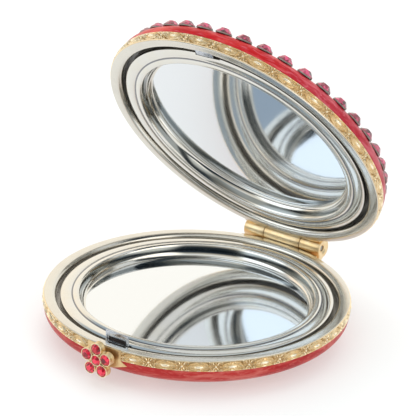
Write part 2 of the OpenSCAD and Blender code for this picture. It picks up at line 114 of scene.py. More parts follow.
def add_node(tree, kind, inputs=None, stops=(), **settings):
    """Adds a node with its settings. A shader node's kind goes without its prefix. An input gets a
    value or a link, which comes from a socket or from a node's first output in use. The stops are a
    ramp's positions and hex colours."""
    made = tree.nodes.new(kind if "Node" in kind else "ShaderNode" + kind)
    for name, value in settings.items():
        setattr(made, name, value)
    for name, value in (inputs or {}).items():
        if isinstance(value, bpy.types.Node):
            value = next(output for output in value.outputs if output.enabled)
        if isinstance(value, bpy.types.NodeSocket):
            tree.links.new(value, made.inputs[name])
        else:
            made.inputs[name].default_value = value
    if stops:
        elements = made.color_ramp.elements
        while len(elements) < len(stops):
            elements.new(0.5)
        for element, (position, colour) in zip(elements, stops):
            element.position = position
            element.color = linear(colour)
    return made


# A Mix node's two colour inputs go by number, because others share their names.
colour_a, colour_b = 6, 7

# The colours from behind the object (0) over the top and down to the camera (1).
room_stops = [
    (0.00, "#fffbf4"), (0.25, "#fffbf4"), (0.36, "#c9cfd4"), (0.47, "#c0c9cf"), (0.60, "#e2e8ec"),
    (0.74, "#e0e5e8"), (0.83, "#a8a6a0"), (0.90, "#37424c"), (0.95, "#0f1820"),
]
room_strength = 1.32
side_stops = [(0, "#fff8ee"), (1, "#eef5fa")]
side_reach = 0.8
low_dark = "#25303a"
low_dark_ends, low_dark_starts = 0.2, 0.1
back_wall_ends, back_wall_starts = -0.2, -0.6
# Each panel: the way to its middle, the degrees off it where its edge starts and ends to fade, the
# heights over which it is cut off below, its colour and its light.
panels = (
    ((-0.52, 0.08, 0.85), (12, 28), (0.0, 0.1), "#9aa9b6", 1.0),    # ceiling
    ((-0.52, -0.41, 0.75), (9, 19), (0.0, 0.1), "#70777c", 1.0),    # gap beside the left panel
    ((-0.54, -0.78, 0.30), (18, 30), (0.13, 0.23), "#f0f9ff", 1.4),    # left
    ((0.86, -0.1, 0.5), (16, 32), (0.13, 0.23), "#fffdf8", 1.4),    # right
)

world = bpy.data.worlds.new("studio room")
world.use_nodes = True
tree = world.node_tree
tree.nodes.clear()
toward_camera = Vector((back.x, back.y, 0)).normalized()
direction = add_node(tree, "TexCoord").outputs["Generated"]
frontness = add_node(tree, "VectorMath", {0: direction, 1: toward_camera}, operation="DOT_PRODUCT")
behind = add_node(tree, "Math", {0: frontness, 1: -1}, operation="MULTIPLY")
height = add_node(tree, "SeparateXYZ", {"Vector": direction}).outputs["Z"]
raised = add_node(tree, "Math", {0: height, 1: 0.0}, operation="MAXIMUM")
turn = add_node(tree, "Math", {0: raised, 1: behind}, operation="ARCTAN2")
turn_share = add_node(tree, "Math", {0: turn, 1: math.pi}, operation="DIVIDE")
room = add_node(tree, "ValToRGB", {"Fac": turn_share}, room_stops)
room.color_ramp.interpolation = "EASE"
rightness = add_node(tree, "VectorMath", {0: direction, 1: level}, operation="DOT_PRODUCT")
side_share = add_node(tree, "MapRange", {
    "Value": rightness, "From Min": -side_reach, "From Max": side_reach})
side = add_node(tree, "ValToRGB", {"Fac": side_share}, side_stops)
shown = add_node(
    tree, "Mix", {"Factor": 1, colour_a: room, colour_b: side}, data_type="RGBA",
    blend_type="MULTIPLY")
low = add_node(tree, "MapRange", {
    "Value": height, "From Min": low_dark_ends, "From Max": low_dark_starts,
}, interpolation_type="SMOOTHSTEP")
not_behind = add_node(tree, "MapRange", {
    "Value": frontness, "From Min": back_wall_starts, "From Max": back_wall_ends,
}, interpolation_type="SMOOTHSTEP")
darkened = add_node(tree, "Math", {0: low, 1: not_behind}, operation="MULTIPLY")
shown = add_node(tree, "Mix", {
    "Factor": darkened, colour_a: shown, colour_b: linear(low_dark)}, data_type="RGBA")
for toward, (full_turn, end_turn), (cut_low, cut_high), colour, light in panels:
    closeness = add_node(tree, "VectorMath", {
        0: direction, 1: Vector(toward).normalized()}, operation="DOT_PRODUCT")
    cover = add_node(tree, "MapRange", {
        "Value": closeness, "From Min": math.cos(math.radians(end_turn)),
        "From Max": math.cos(math.radians(full_turn)),
    }, interpolation_type="SMOOTHSTEP")
    above = add_node(tree, "MapRange", {
        "Value": height, "From Min": cut_low, "From Max": cut_high,
    }, interpolation_type="SMOOTHSTEP")
    covered = add_node(tree, "Math", {0: cover, 1: above}, operation="MULTIPLY")
    shown = add_node(tree, "Mix", {
        "Factor": covered, colour_a: shown, colour_b: [light * c for c in linear(colour)],
    }, data_type="RGBA")
background = add_node(tree, "Background", {"Color": shown, "Strength": room_strength})
add_node(tree, "OutputWorld", {"Surface": background})
bpy.context.scene.world = world

object_middle = Vector((0, 0, 0.03))
for name, place, width, power, colour in (
    ("overhead soft light", Vector((-0.25, 0.15, 0.9)), 1.0, 4, "#fffdfa"),
    ("front fill", Vector((0.5, -0.9, 0.5)), 0.6, 1.5, "#fafcff"),
):
    light = bpy.data.lights.new(name, "AREA")
    light.shape = "SQUARE"
    light.size = width
    light.energy = power
    light.color = linear(colour)[:3]
    holder = new_object(name, light)
    facing = (place - object_middle).to_track_quat("Z", "Y").to_matrix().to_4x4()
    holder.matrix_world = Matrix.Translation(place) @ facing
    holder.visible_glossy = False


# The table: opal acrylic, lit from below, and nearly matt. Its own light keeps the shadow under the
# object faint.
def new_material(name):
    """An empty node material and its tree."""
    made = bpy.data.materials.new(name)
    made.use_nodes = True
    made.node_tree.nodes.clear()
    return made, made.node_tree


def end_material(tree, surface):
    """Ends a material's tree with a shader, whose inputs the surface gives, and the output."""
    shader = add_node(tree, "BsdfPrincipled", surface)
    add_node(tree, "OutputMaterial", {"Surface": shader})


half_table = 6
clouds_per_m = 3
opal_acrylic, tree = new_material("opal acrylic light table, satin")
clouds = add_node(tree, "TexNoise", {
    "Vector": add_node(tree, "TexCoord").outputs["Object"],
    "Scale": clouds_per_m, "Detail": 2})
end_material(tree, {
    "Base Color": add_node(tree, "ValToRGB", {"Fac": clouds}, [(0.3, "#b8babb"), (0.7, "#bcbebf")]),
    "Roughness": 0.5, "Specular IOR Level": 0.2,
    "Emission Color": linear("#fffdfa"), "Emission Strength": 0.46,
})
table_mesh = bpy.data.meshes.new("table")
table_mesh.from_pydata(
    [(-half_table, -half_table, 0), (half_table, -half_table, 0),
     (half_table, half_table, 0), (-half_table, half_table, 0)], [], [(0, 1, 2, 3)])
table_mesh.materials.append(opal_acrylic)
table = new_object("table", table_mesh)


# The castings: two like dished shells of zinc alloy, one for the base and one for the lid. Each has
# a flat polished rim, plated with nickel, and a groove inside it, painted a dull grey shade deep
# down.
MM = 0.001
rim_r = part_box("base_shell")[1].x / MM
half_h = rim_height / MM
foot_r = 20
rim_w = 2.7
rim_round = 0.09
groove_r = rim_r - rim_w
groove_w = 0.9
groove_h = 3
groove_roll = 1.15
skirt_r = groove_r - groove_w
hump_w = 2.8
crease_r = skirt_r - hump_w
bead_w = 1.7
bead_r = crease_r - bead_w
ledge_t = 0.8
ledge_w = 0.8
band_edge = 0.2
band_h = 2.4
band_low = band_edge + band_h
band_seat = 0.5
shell_r = rim_r - band_seat
shell_wall = 1.2
enamel_t = 0.6
shell_low = half_h - enamel_t
dome_roundness = 2.6
steps_round = 192
barrel_room_r = 2.35
barrel_room_w = 21.8
tongue_side = 1.2
tongue_room_w = 6.4
tongue_room_back = -30.8
tongue_room_low, tongue_room_high = -4.0, 0.5

lid_joint = next(j for j in frame["joints"] if j["name"] == "lid_hinge")
hinge_axis = Vector(lid_joint["pos_m"]) / MM
hinge_y = hinge_axis.y
hinge_up = hinge_axis.z - half_h
open_angle = math.radians(-lid_joint["range_deg"][0])
closed_gap = 0.3

# Each half is drawn in millimetres with its rim's face at zero height and its outside below. A
# place takes such a drawing to the part's frame, in metres.
base_place = Matrix.Scale(MM, 4) @ Matrix.Translation((0, 0, half_h))
lid_place = (
    Matrix.Scale(MM, 4)
    @ Matrix.Translation((0, hinge_y, half_h + hinge_up))
    @ Matrix.Rotation(-open_angle, 4, "X")
    @ Matrix.Translation((0, -hinge_y, closed_gap - hinge_up))
    @ Matrix.Diagonal((1, 1, -1, 1))
)
halves = {"base": base_place, "lid": lid_place}


def dome_drop(radius, top_r, drop, low_r):
    """How far a dome's curve has dropped from its top edge at a radius."""
    def side(share):
        return (1 - share ** dome_roundness) ** (1 / dome_roundness)
    return drop * side(radius / top_r) / side(low_r / top_r)


def dome_curve(top_r, top, low, low_r, steps=28):
    """Points (radius, height) of a dome from its top edge to its flat."""
    points = []
    for i in range(steps + 1):
        radius = low_r + (top_r - low_r) * math.cos(math.pi / 2 * i / steps)
        points.append((radius, -top - dome_drop(radius, top_r, low - top, low_r)))
    return points


def rounded(corner, before, after, radius, steps=4):
    """Points of an arc that takes the place of a sharp corner between two others."""
    corner, before, after = Vector(corner), Vector(before), Vector(after)
    into, out = (before - corner).normalized(), (after - corner).normalized()
    half = into.angle(out) / 2
    centre = corner + (into + out).normalized() * radius / math.sin(half)
    first = (corner + into * radius / math.tan(half) - centre).normalized()
    last = (corner + out * radius / math.tan(half) - centre).normalized()
    return [tuple(centre + first.slerp(last, i / steps) * radius) for i in range(steps + 1)]


def with_rounds(points, rounds):
    """A closed outline with some corners rounded: rounds maps a corner's index to a radius."""
    outline = []
    for i, point in enumerate(points):
        if i in rounds:
            outline += rounded(point, points[i - 1], points[(i + 1) % len(points)], rounds[i])
        else:
            outline.append(point)
    return outline


def new_shape_tree(name, output, **inputs):
    """A geometry nodes tree with one output and named inputs, and the sockets of these."""
    tree = bpy.data.node_groups.new(name, "GeometryNodeTree")
    for label, kind in inputs.items():
        tree.interface.new_socket(
            label.replace("_", " "), in_out="INPUT", socket_type=f"NodeSocket{kind}")
    tree.interface.new_socket(output, in_out="OUTPUT", socket_type="NodeSocketGeometry")
    return tree, add_node(tree, "NodeGroupInput").outputs


def end_shape_tree(tree, output, shape, finish):
    """Ends a geometry nodes tree with real geometry that has its material."""
    real = add_node(tree, "GeometryNodeRealizeInstances", {"Geometry": shape})
    finished = add_node(tree, "GeometryNodeSetMaterial", {"Geometry": real, "Material": finish})
    add_node(tree, "NodeGroupOutput", {output: finished})


swept_ring, given = new_shape_tree(
    "section swept round the axis", "Ring",
    Section="Geometry", Guide_radius="Float", Steps_round="Int", Finish="Material")
sweep = add_node(swept_ring, "GeometryNodeCurveToMesh", {
    "Curve": add_node(swept_ring, "GeometryNodeCurvePrimitiveCircle", {
        "Resolution": given["Steps round"], "Radius": given["Guide radius"]}),
    "Profile Curve": add_node(swept_ring, "GeometryNodeMeshToCurve", {"Mesh": given["Section"]}),
})
merge_mm = 0.0005
joined = add_node(
    swept_ring, "GeometryNodeMergeByDistance", {"Geometry": sweep, "Distance": merge_mm})
end_shape_tree(swept_ring, "Ring", joined, given["Finish"])


def result_mesh(name, start, node_tree, values):
    """Runs a node tree on a mesh and returns the plain mesh that it makes."""
    holder = new_object(name, start)
    modifier = holder.modifiers.new("maker", "NODES")
    modifier.node_group = node_tree
    for item in node_tree.interface.items_tree:
        if item.in_out == "INPUT" and item.name in values:
            modifier[item.identifier] = values[item.name]
    depsgraph = bpy.context.evaluated_depsgraph_get()
    made = bpy.data.meshes.new_from_object(holder.evaluated_get(depsgraph))
    made.name = name
    bpy.data.objects.remove(holder)
    return made


def swept(name, outline, finish, steps=steps_round):
    """A ring with the outline of (radius, height) points as its section, in millimetres."""
    guide_r = 10
    section = bpy.data.meshes.new(name)
    count = len(outline)
    section.from_pydata(
        [(r - guide_r, -z, 0) for r, z in outline],
        [(i, (i + 1) % count) for i in range(count)], [])
    return result_mesh(name, section, swept_ring, {
        "Guide radius": guide_r, "Steps round": steps, "Finish": finish})


def cut_away(mesh, *tools):
    """The mesh less the closed tool meshes, in the same drawing."""
    body = new_object("body to cut", mesh)
    holders = [new_object("cutter", tool) for tool in tools]
    for holder in holders:
        modifier = body.modifiers.new("cut", "BOOLEAN")
        modifier.operation = "DIFFERENCE"
        modifier.solver = "EXACT"
        modifier.object = holder
    depsgraph = bpy.context.evaluated_depsgraph_get()
    made = bpy.data.meshes.new_from_object(body.evaluated_get(depsgraph))
    made.name = mesh.name
    for holder in holders + [body]:
        bpy.data.objects.remove(holder)
    return made


@contextmanager
def worked(mesh):
    """Opens a mesh to work on its faces, and puts them back after."""
    shape = bmesh.new()
    shape.from_mesh(mesh)
    yield shape
    shape.to_mesh(mesh)
    shape.free()


def block(low_x, high_x, low_y, high_y, low_z, high_z):
    """A plain box."""
    size = Vector((high_x - low_x, high_y - low_y, high_z - low_z))
    middle = Vector((high_x + low_x, high_y + low_y, high_z + low_z)) / 2
    made = bpy.data.meshes.new("box")
    with worked(made) as shape:
        bmesh.ops.create_cube(shape, size=1)
        shape.transform(Matrix.Translation(middle) @ Matrix.Diagonal((*size, 1)))
    return made


def smooth_by_angle(mesh, degrees):
    """Shades the mesh smooth, except across sharper edges, with its faces outwards."""
    with worked(mesh) as shape:
        bmesh.ops.recalc_face_normals(shape, faces=shape.faces)
        for face in shape.faces:
            face.smooth = True
        for edge in shape.edges:
            edge.smooth = (
                len(edge.link_faces) == 2 and edge.calc_face_angle(0) < math.radians(degrees))


def add_piece(name, mesh, place, body, nodes, sharp=30):
    """Puts a drawn mesh in its place and hangs it on its body, instead of the CAD nodes that it
    stands for."""
    mesh.transform(place)
    smooth_by_angle(mesh, sharp)
    piece = new_object(name, mesh)
    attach(piece, body)
    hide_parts(*nodes)


def half_coordinates(tree, place):
    """Object coordinates turned back to a half's own drawing, in millimetres."""
    back_to_half = place.inverted()
    flipped = back_to_half.determinant() < 0
    flip = Matrix.Diagonal((1, 1, -1)) if flipped else Matrix.Identity(3)
    turned = back_to_half.to_3x3() @ flip
    size = turned.col[0].length
    return add_node(tree, "Mapping", {
        "Vector": add_node(tree, "TexCoord").outputs["Object"],
        "Location": back_to_half.translation,
        "Rotation": (turned * (1 / size)).to_euler(),
        "Scale": (size, size, -size if flipped else size),
    }, vector_type="POINT")


buffed_bright = "#dedad0"
# Painted shade in a frame's crease: a dark blue grey laid over the nickel at the crease's radius.
crease_painted_shade = "#565a68"
crease_shade_share = 0.85
crease_full, crease_end = 0.06, 0.28
# Painted shade on the frame's inner wall round the glass: a dark blue grey between the wall's top
# and its foot.
wall_painted_shade = "#4e5c5f"
wall_shade_share = 0.68
wall_top, wall_foot = (-0.75, -0.95), (-2.2, -1.9)
# Painted shade deep in the groove: below these heights the nickel is painted a dull, barely
# metallic grey.
painted_shade_depths = (-1.1, -2.2)
painted_shade_metallic = 0.2
edge_allowance = 0.1
clouds_per_mm = 0.12


def polished_nickel(name, place, tint, shine, line_mm, deep_painted_shade):
    """Nickel plate, turned and buffed: bright, with lines round the axis, drawn coarser than real
    ones, that spread each reflection along the rim, and faint clouds where it is buffed unevenly.
    Painted shade darkens it in a frame's crease and on the wall round the glass, and deep down, as
    in the groove, it is painted a dull grey shade."""
    made, tree = new_material(name)
    spot = add_node(tree, "SeparateXYZ", {"Vector": half_coordinates(tree, place)}).outputs
    height = spot["Z"]
    flat = add_node(tree, "CombineXYZ", {"X": spot["X"], "Y": spot["Y"]})
    radius = add_node(tree, "VectorMath", {0: flat}, operation="LENGTH")
    angle = add_node(tree, "Math", {0: spot["Y"], 1: spot["X"]}, operation="ARCTAN2")
    across = add_node(tree, "Math", {0: radius, 1: height}, operation="SUBTRACT")
    lines = add_node(tree, "CombineXYZ", {"X": across, "Y": angle})
    scratches = add_node(tree, "TexNoise", {
        "Vector": lines, "Scale": 1 / line_mm, "Detail": 3, "Roughness": 0.6})
    clouds = add_node(tree, "TexNoise", {
        "Vector": half_coordinates(tree, place),
        "Scale": clouds_per_mm, "Detail": 4, "Distortion": 1.0})
    # Painted shade: darkest at the crease's radius, fading out within about a quarter millimetre.
    off_crease = add_node(tree, "Math", {0: radius, 1: crease_r}, operation="SUBTRACT")
    off_crease = add_node(tree, "Math", {0: off_crease}, operation="ABSOLUTE")
    crease_shade_mask = add_node(tree, "MapRange", {
        "Value": off_crease, "From Min": crease_full, "From Max": crease_end,
        "To Min": crease_shade_share, "To Max": 0.0}, interpolation_type="SMOOTHSTEP")
    # Painted shade on the wall round the glass, between its top and its foot.
    on_wall = add_node(tree, "MapRange", {
        "Value": height, "From Min": wall_top[0], "From Max": wall_top[1]})
    above_foot = add_node(tree, "MapRange", {
        "Value": height, "From Min": wall_foot[0], "From Max": wall_foot[1]})
    inside = add_node(tree, "Math", {
        0: radius, 1: bead_r + edge_allowance}, operation="LESS_THAN")
    for share in (above_foot, inside, wall_shade_share):
        on_wall = add_node(tree, "Math", {0: on_wall, 1: share}, operation="MULTIPLY")
    deep = add_node(tree, "MapRange", {
        # Painted shade deep in the groove, outside the frame's skirt.
        "Value": height, "From Min": painted_shade_depths[0], "From Max": painted_shade_depths[1]})
    outside = add_node(tree, "Math", {
        0: radius, 1: skirt_r - edge_allowance}, operation="GREATER_THAN")
    painted_deep_shade = add_node(tree, "Math", {0: deep, 1: outside}, operation="MULTIPLY")
    colour = add_node(tree, "ValToRGB", {"Fac": clouds}, [(0.3, tint), (0.7, buffed_bright)])
    for share, stain in (
        (crease_shade_mask, crease_painted_shade), (on_wall, wall_painted_shade), (painted_deep_shade, deep_painted_shade),
    ):
        colour = add_node(tree, "Mix", {
            "Factor": share, colour_a: colour, colour_b: linear(stain)}, data_type="RGBA")
    end_material(tree, {
        "Base Color": colour,
        "Metallic": add_node(tree, "MapRange", {
            "Value": painted_deep_shade, "To Min": 1.0, "To Max": painted_shade_metallic}),
        "Roughness": add_node(tree, "MapRange", {
            "Value": clouds, "From Min": 0.3, "From Max": 0.7,
            "To Min": shine * 0.7, "To Max": shine * 1.6}),
        "Normal": add_node(tree, "Bump", {
            "Height": scratches, "Strength": 0.05, "Distance": 0.00005}),
    })
    return made


shell_outline = with_rounds(
    [(groove_r, 0), (rim_r, 0), (rim_r, -band_edge), (shell_r, -band_edge)]
    + dome_curve(shell_r, band_low, shell_low, foot_r)
    + [(0, -shell_low), (0, -shell_low + shell_wall)]
    + dome_curve(shell_r - shell_wall, groove_h + ledge_t, shell_low - shell_wall, foot_r)[::-1]
    + [(skirt_r - ledge_w, -groove_h - ledge_t), (skirt_r - ledge_w, -groove_h),
       (groove_r, -groove_h)],
    {0: groove_roll, 1: rim_round},
)
tongue_room = (
    tongue_side - tongue_room_w / 2, tongue_side + tongue_room_w / 2, -groove_r,
    tongue_room_back, tongue_room_low, tongue_room_high)
# The groove's painted shade: a light grey on the base and a dark grey on the lid.
groove_painted_shade = {"base": "#aaa39a", "lid": "#5c5854"}
for half, place in halves.items():
    nickel = polished_nickel(
        f"polished nickel, {half} rim", place, tint="#d5d0c7", shine=0.17, line_mm=0.16,
        deep_painted_shade=groove_painted_shade[half])
    mesh = swept(f"{half}_casting", shell_outline, nickel)
    axis_up = hinge_up if half == "base" else closed_gap - hinge_up
    barrel_room = bpy.data.meshes.new("round cutter")
    with worked(barrel_room) as shape:
        bmesh.ops.create_cone(
            shape, cap_ends=True, segments=64, radius1=barrel_room_r, radius2=barrel_room_r,
            depth=barrel_room_w, matrix=Matrix.Translation((0, hinge_y, axis_up))
            @ Matrix.Rotation(math.pi / 2, 4, "Y"))
    mesh = cut_away(mesh, barrel_room, block(*tongue_room))
    add_piece(f"{half}_casting", mesh, place, half, [f"{half}_shell"])


# The mirror pads: grey card discs, cut by a die and laid behind each glass to press it against its
# frame. The card is dull and a little fibrous, and nothing of it shows.
fibres_per_mm = 2.5
pad_card, tree = new_material("grey card, die cut")
fibres = add_node(tree, "TexNoise", {
    "Vector": add_node(tree, "TexCoord").outputs["Object"],
    "Scale": fibres_per_mm / MM, "Detail": 4})
end_material(tree, {
    "Base Color": add_node(tree, "ValToRGB", {"Fac": fibres}, [(0.3, "#6f6a62"), (0.7, "#8a857c")]),
    "Roughness": 0.9,
    "Normal": add_node(tree, "Bump", {
        "Height": fibres, "Strength": 0.3, "Distance": 0.0001}),
})


def dress(node, material):
    """Gives a CAD node's object one material."""
    materials = frame["nodes"][node].data.materials
    materials.clear()
    materials.append(material)


for half in halves:
    dress(f"{half}_mirror_pad", pad_card)


# The mirrors: float glass silvered on its back. The silver is a cold, slightly blue white, and
# some faint wiping marks show in it.
wipes_per_mm = 0.09
silvered_glass, tree = new_material("silvered float glass")
wiping = add_node(tree, "TexNoise", {
    "Vector": add_node(tree, "TexCoord").outputs["Object"],
    "Scale": wipes_per_mm / MM, "Detail": 3, "Distortion": 2.0})
end_material(tree, {
    "Base Color": linear("#e5e8eb"), "Metallic": 1.0,
    "Roughness": add_node(tree, "MapRange", {
        "Value": wiping, "From Min": 0.4, "From Max": 0.8, "To Min": 0.05, "To Max": 0.07}),
})
for half in halves:
    dress(f"{half}_mirror", silvered_glass)


# The mirror frames: rings pressed from thin nickel plated sheet, with a broad hump, a crease and a
# narrow bead, whose inner wall ends in a flared foot on the glass.
frame_t = 0.4
skirt_drop = 0.97
crease_drop = 0.82
bead_drop = 0.6
hump_rise = 0.5
bead_rise = 0.45
crease_blend = 0.5
mirror_drop = 3.2
wall_lean = 0.32
flare_h = 1.25
flare_w = 1.4
foot_steps = 10
foot_lean = math.radians(24)
foot_flat = math.radians(88)


def hump(out_r, in_r, out_drop, in_drop, rise, steps=16):
    """Points over one hump of the frame, from its outer to its inner foot."""
    points = []
    for i in range(steps + 1):
        turn = math.pi * i / steps
        share = (1 - math.cos(turn)) / 2
        points.append((out_r + (in_r - out_r) * share,
                       -out_drop + (out_drop - in_drop) * share + rise * math.sin(turn)))
    return points


def frame_top(inset=0.0):
    """The frame's upper line, or the line the sheet's thickness below it."""
    outer = hump(
        skirt_r - inset, crease_r + inset, skirt_drop + inset, crease_drop + inset, hump_rise)
    inner = hump(
        crease_r - inset, bead_r + inset, crease_drop + inset, bead_drop + inset, bead_rise)
    return outer + inner[(0 if inset else 1):]


def pressed_soft(points, width, step=0.05, kept_every=3):
    """The line through the points, with its creases rounded over the width."""
    points = sorted(points)
    radii = np.arange(points[0][0], points[-1][0], step)
    heights = np.interp(radii, [p[0] for p in points], [p[1] for p in points])
    reach = round(width / step / 2)
    first = 2 * heights[0] - heights[reach:0:-1]
    last = 2 * heights[-1] - heights[-2:-reach - 2:-1]
    weights = np.hanning(2 * reach + 3)[1:-1]
    soft = np.convolve(
        np.concatenate([first, heights, last]), weights / weights.sum(), "valid")
    return [(float(r), float(z)) for r, z in zip(radii[::kept_every], soft[::kept_every])][::-1]


flared_foot = []
for i in range(foot_steps + 1):
    turn = foot_lean + (foot_flat - foot_lean) * i / foot_steps
    flared_foot.append((
        bead_r - wall_lean - (flare_w - wall_lean) * (math.cos(foot_lean) - math.cos(turn))
        / (math.cos(foot_lean) - math.cos(foot_flat)),
        -mirror_drop + flare_h * (math.sin(foot_flat) - math.sin(turn))
        / (math.sin(foot_flat) - math.sin(foot_lean)),
    ))
frame_outline = (
    [(skirt_r, -groove_h)] + pressed_soft(frame_top(), crease_blend) + flared_foot
    + [(bead_r + frame_t, -mirror_drop)] + frame_top(frame_t)[::-1]
    + [(skirt_r - frame_t, -groove_h)]
)
for half, place in halves.items():
    name = f"{half}_pressed_frame"
    sheet = polished_nickel(
        f"pressed nickel sheet, {half}", place, tint="#dddbd7", shine=0.1, line_mm=0.3,
        deep_painted_shade=groove_painted_shade[half])
    mesh = cut_away(swept(name, frame_outline, sheet), block(*tongue_room))
    add_piece(name, mesh, place, half, [f"{half}_mirror_frame"], sharp=40)


# The enamel: coloured glass fired on the domes, in reds that run into each other like marble, under
# a deep gloss. The base leaves room for the button's plate.
enamel_r = shell_r + enamel_t
plate_w = 9
lobe_w = 12
plate_drop = 2.4
lobe_down, tip_down = 0.42, 0.8
tip_w_share = 0.15
plate_room_y = (-rim_r - 3, -rim_r / 2)
waves_per_mm = 0.35
cloud_positions = (0.32, 0.5, 0.66)
bright_reds = ("#a40a12", "#b8161c", "#d65048")
lid_sheen_and_streak_reds = ("#a01c2c", "#b4303c", "#cc6470")
brick_reds = ("#a41c20", "#ba3432", "#d06c62")


def marbled_enamel(name, place, dull, dull_from, dull_to, streak_mm):
    """Fired enamel, marbled while wet: cloudy reds with paler drawn streaks, bright reds giving way
    across it to duller ones, which on the lid are a painted sheen on one side, and a clear glossy
    skin that keeps every highlight sharp."""
    made, tree = new_material(name)
    spot = half_coordinates(tree, place)
    drawn = add_node(tree, "Mapping", {"Vector": spot, "Scale": (1, 1, 3.2)})
    clouds = add_node(tree, "TexNoise", {
        "Vector": drawn, "Scale": 0.5 / streak_mm, "Detail": 5, "Roughness": 0.6,
        "Distortion": 1.6})
    across = add_node(tree, "SeparateXYZ", {"Vector": spot}).outputs["X"]
    # On the lid this lays a painted sheen of paler reds towards its right side; on the base it
    # covers the whole dome with the base's own brick reds.
    dulled = add_node(tree, "MapRange", {
        "Value": across, "From Min": dull_from, "From Max": dull_to,
    }, interpolation_type="SMOOTHSTEP")
    clear_side, dull_side = (
        add_node(tree, "ValToRGB", {"Fac": clouds}, list(zip(cloud_positions, reds)))
        for reds in (bright_reds, dull))
    colour = add_node(tree, "Mix", {
        "Factor": dulled, colour_a: clear_side, colour_b: dull_side}, data_type="RGBA")
    fine = add_node(tree, "TexNoise", {
        "Vector": add_node(tree, "Mapping", {
            "Vector": drawn, "Rotation": (0.2, 0.35, 0.5), "Scale": (0.4, 1.6, 1.0)}),
        "Scale": 2 / streak_mm, "Detail": 6, "Roughness": 0.55, "Distortion": 2.4})
    streaks = add_node(tree, "MapRange", {
        "Value": fine, "From Min": 0.52, "From Max": 0.7, "To Min": 0.0, "To Max": 0.8})
    waves = add_node(tree, "TexNoise", {"Vector": spot, "Scale": waves_per_mm, "Detail": 2})
    bump = add_node(tree, "Bump", {"Height": waves, "Strength": 0.12, "Distance": 0.0004})
    end_material(tree, {
        "Base Color": add_node(tree, "Mix", {
            "Factor": streaks, colour_a: colour, colour_b: linear(dull[2])}, data_type="RGBA"),
        "Roughness": 0.4, "IOR": 1.45, "Specular IOR Level": 0.1, "Coat Weight": 0.2,
        "Coat Roughness": 0.1, "Coat IOR": 1.4, "Normal": bump, "Coat Normal": bump,
    })
    return made


def upright_prism(name, outline, near_y, far_y):
    """A prism with an outline of (across, height) points, running in depth."""
    count = len(outline)
    made = bpy.data.meshes.new(name)
    made.from_pydata(
        [(x, near_y, z) for x, z in outline] + [(x, far_y, z) for x, z in outline], [],
        [tuple(range(count)), tuple(range(2 * count - 1, count - 1, -1))]
        + [(i, i + count, (i + 1) % count + count, (i + 1) % count) for i in range(count)])
    with worked(made) as shape:
        bmesh.ops.recalc_face_normals(shape, faces=shape.faces)
    return made


plate_side = [
    (plate_w / 2, -band_edge), (plate_w / 2, -band_low),
    (lobe_w / 2, -band_low - plate_drop * lobe_down),
    (lobe_w / 2 / 2, -band_low - plate_drop * tip_down),
    (lobe_w / 2 * tip_w_share, -band_low - plate_drop),
]
plate_outline = plate_side + [(-x, z) for x, z in reversed(plate_side)]
enamel_outline = (
    dome_curve(enamel_r, band_low, half_h, foot_r, 40)
    + [(0, -half_h), (0, -shell_low)]
    + dome_curve(shell_r, band_low, shell_low, foot_r)[::-1]
)
# The lid's paler reds on its right side are a painted sheen; the base's brick reds are its own
# colour.
for half, slot, finish, dull, dull_from, dull_to, streak_mm in (
    ("base", "red_enamel", "fired enamel, marbled brick red", brick_reds, -60, -40, 7),
    ("lid", "lid_red_enamel", "fired enamel, marbled bright red", lid_sheen_and_streak_reds, 14, 28, 8),
):
    name = f"{half}_marbled_enamel"
    red = marbled_enamel(finish, halves[half], dull, dull_from, dull_to, streak_mm)
    mesh = swept(name, enamel_outline, red)
    if half == "base":
        mesh = cut_away(mesh, upright_prism("plate room", plate_outline, *plate_room_y))
    add_piece(name, mesh, halves[half], half, [f"{half}_enamel"])


# The ornamental bands: gold plated cast strips let in under each rim, with long pointed ovals in
# nested lines round a boss, and fans of leaves and small scrolls between them.
band_r = shell_r + 0.7
band_crown = 0.3
ground_r = shell_r + 0.42
cell_count = 30
cell_turn = 2 * math.pi / cell_count
cell_w = cell_turn * band_r
cells_left_out = 3
columns = 76
rows = 24
ground_relief = 0.12
back_relief = 0.3
oval_half_w = 2.75
oval_half_h = 0.93
oval_point = 1.75
oval_lines = ((1.0, 0.085, 0.95), (0.74, 0.07, 0.8), (0.52, 0.06, 0.72))
oval_field = 0.3
boss_low, boss_half_w, boss_half_h = -0.12, 1.15, 0.36
middle_low = -0.04
knot_half_w, knot_half_h, knot_relief = 0.34, 0.3, 0.9
leaves = ((90, 0.42), (52, 0.5), (128, 0.5))
leaf_half_w, leaf_start, leaf_relief = 0.15, 0.3, 0.85
scroll_in, scroll_up = 1.28, 0.78
scroll_r, scroll_line, scroll_relief = 0.27, 0.075, 0.8
eye_r, eye_relief = 0.12, 0.75
edge_line, edge_relief = 0.09, 0.8


def domed(u, v, at_u, at_v, half_u, half_v, turn=0.0):
    """A dome with an elliptical outline: 1 at its middle and 0 outside."""
    du, dv = u - at_u, v - at_v
    along = du * math.cos(turn) + dv * math.sin(turn)
    across = dv * math.cos(turn) - du * math.sin(turn)
    return np.sqrt(np.clip(1 - (along / half_u) ** 2 - (across / half_v) ** 2, 0, 1))


def ridge(distance, width):
    """A rounded line where the distance is zero: 1 along it, and near 0 beside it."""
    return np.exp(-(distance / width) ** 2)


